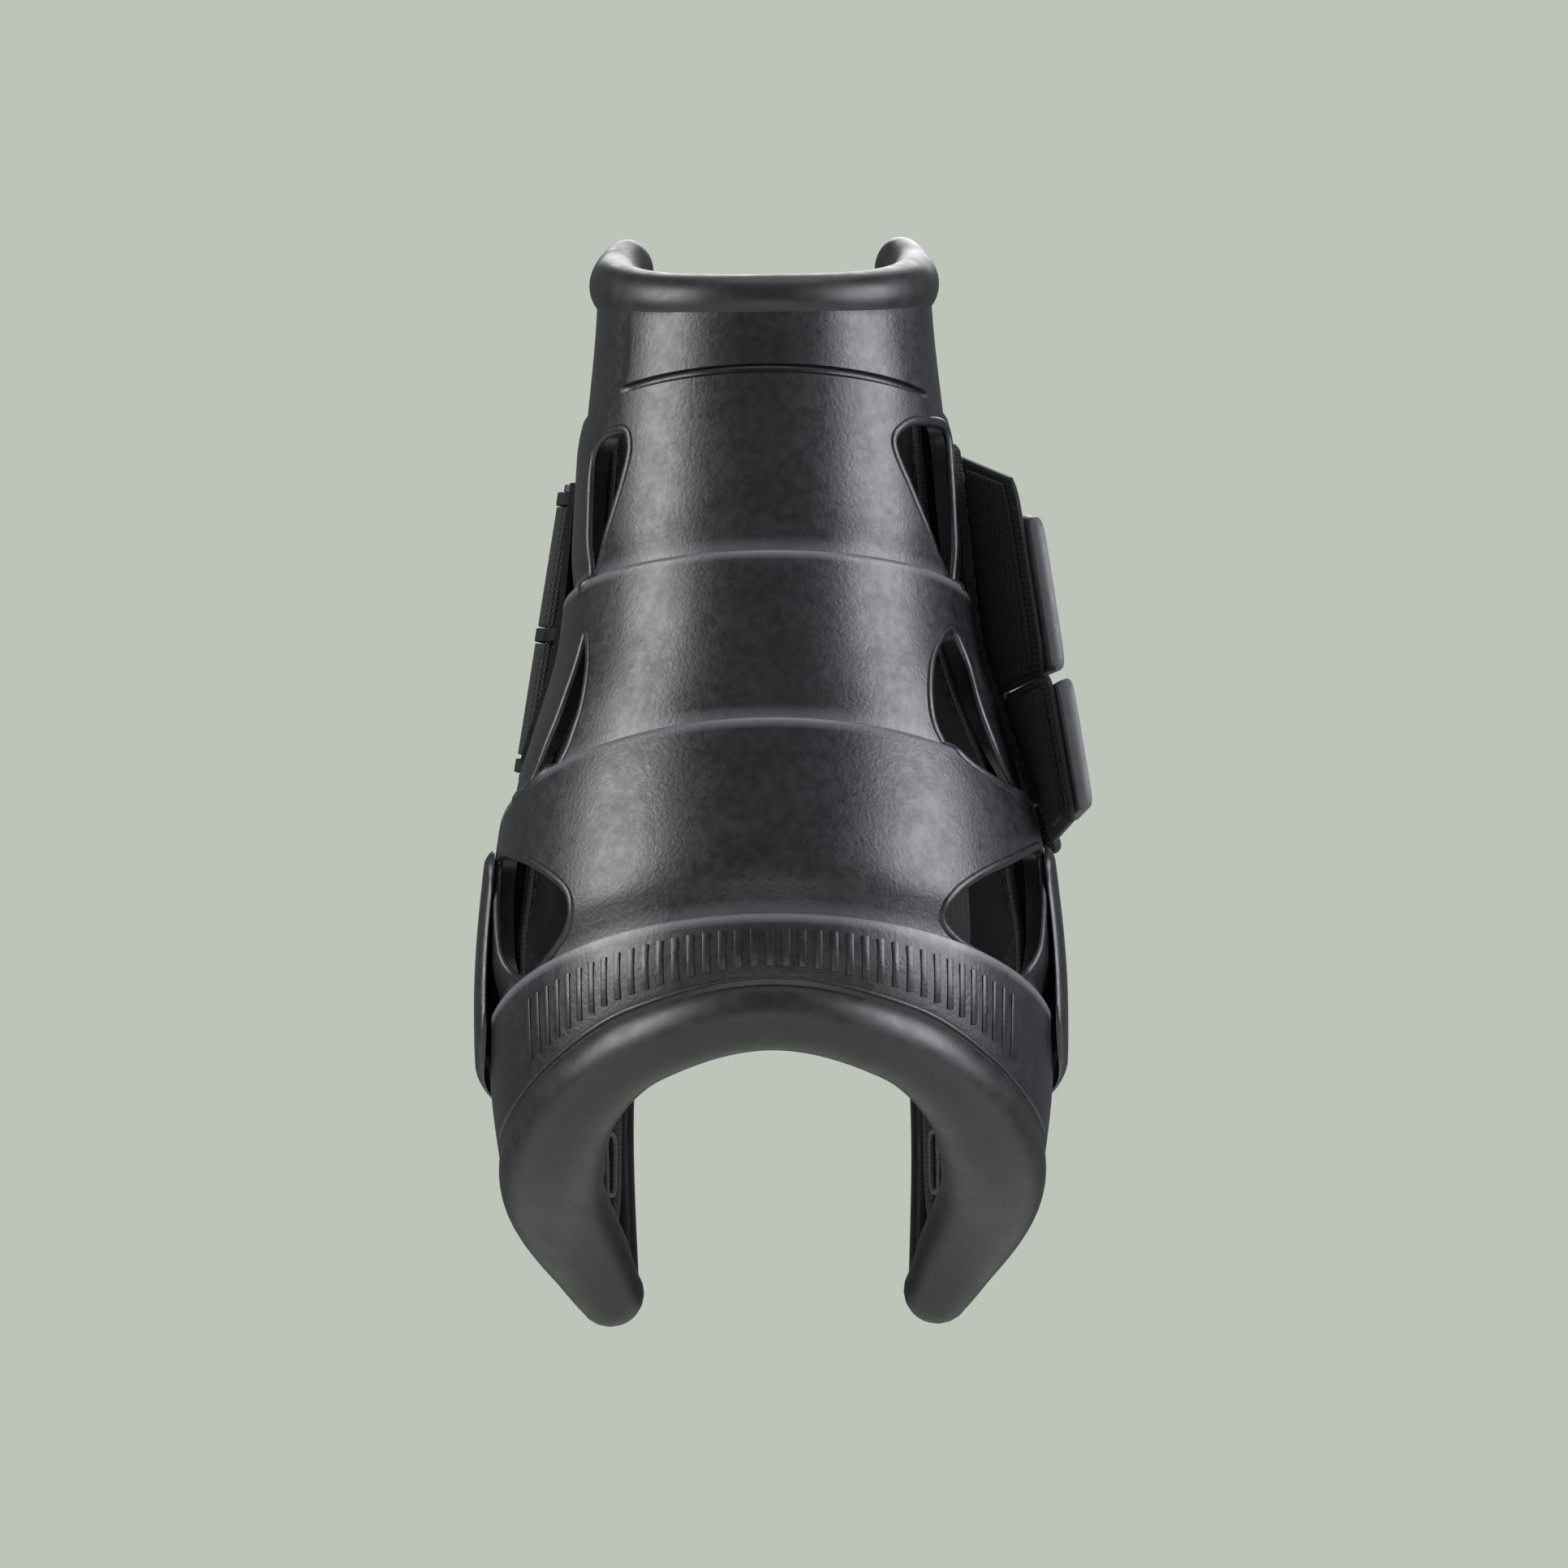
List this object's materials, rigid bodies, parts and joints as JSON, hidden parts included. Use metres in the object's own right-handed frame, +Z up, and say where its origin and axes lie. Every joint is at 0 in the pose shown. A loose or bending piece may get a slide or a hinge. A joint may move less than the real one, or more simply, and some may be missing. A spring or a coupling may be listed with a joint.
{
  "type": "fetlock boot",
  "caption": "Moulded open-fronted fetlock boot for a horse's leg, with stepped vented shell, padded rims and hinged hook-and-loop straps.",
  "frame": {"origin": "on the leg's axis, level with the lower tips of the two wings", "axes": "+Z up along the leg, +Y out of the open front, -Y through the middle of the closed back"},
  "size_m": [0.107, 0.0979, 0.1868],
  "materials": {
    "moulded_shell": "satin moulded",
    "soft_rim": "smooth soft-touch",
    "pad_lining": "foam-backed knit",
    "elastic_webbing": "woven elastic",
    "hook_and_loop": "hook-and-loop pile",
    "moulded_tab": "grey moulded",
    "blackened_steel": "black coated"
  },
  "bodies": {
    "shell": {"outer_shell": "moulded_shell", "bottom_rim": "soft_rim", "top_cuff": "soft_rim", "front_trim_left": "soft_rim", "front_trim_right": "soft_rim", "back_pad": "pad_lining", "side_pad_left": "pad_lining", "side_pad_right": "pad_lining", "side_guard_left": "moulded_shell", "side_guard_right": "moulded_shell", "strap_seat": "moulded_shell", "strap_bar": "blackened_steel", "loop_panel": "hook_and_loop"},
    "upper_strap": {"strap_upper": "elastic_webbing"},
    "lower_strap": {"strap_lower": "elastic_webbing"},
    "upper_flap": {"flap_upper": "elastic_webbing", "hook_patch_upper": "hook_and_loop", "tab_upper": "moulded_tab"},
    "lower_flap": {"flap_lower": "elastic_webbing", "hook_patch_lower": "hook_and_loop", "tab_lower": "moulded_tab"}
  },
  "joints": [
    {"name": "upper_strap_swing", "type": "hinge", "parent": "shell", "child": "upper_strap", "pos_m": [-0.0355, 0.01907, 0.1306], "axis": [0.1632, -0.0653, 0.9844], "range_deg": [0, 120]},
    {"name": "lower_strap_swing", "type": "hinge", "parent": "shell", "child": "lower_strap", "pos_m": [-0.0393, 0.02059, 0.10765], "axis": [0.1632, -0.0653, 0.9844], "range_deg": [0, 120]},
    {"name": "upper_flap_fold", "type": "hinge", "parent": "upper_strap", "child": "upper_flap", "pos_m": [0.03471, 0.01727, 0.12825], "axis": [-0.1165, -0.048, 0.992], "range_deg": [-2, 115]},
    {"name": "lower_flap_fold", "type": "hinge", "parent": "lower_strap", "child": "lower_flap", "pos_m": [0.04479, 0.01005, 0.09275], "axis": [-0.3036, -0.0447, 0.9518], "range_deg": [-4, 115]}
  ]
}
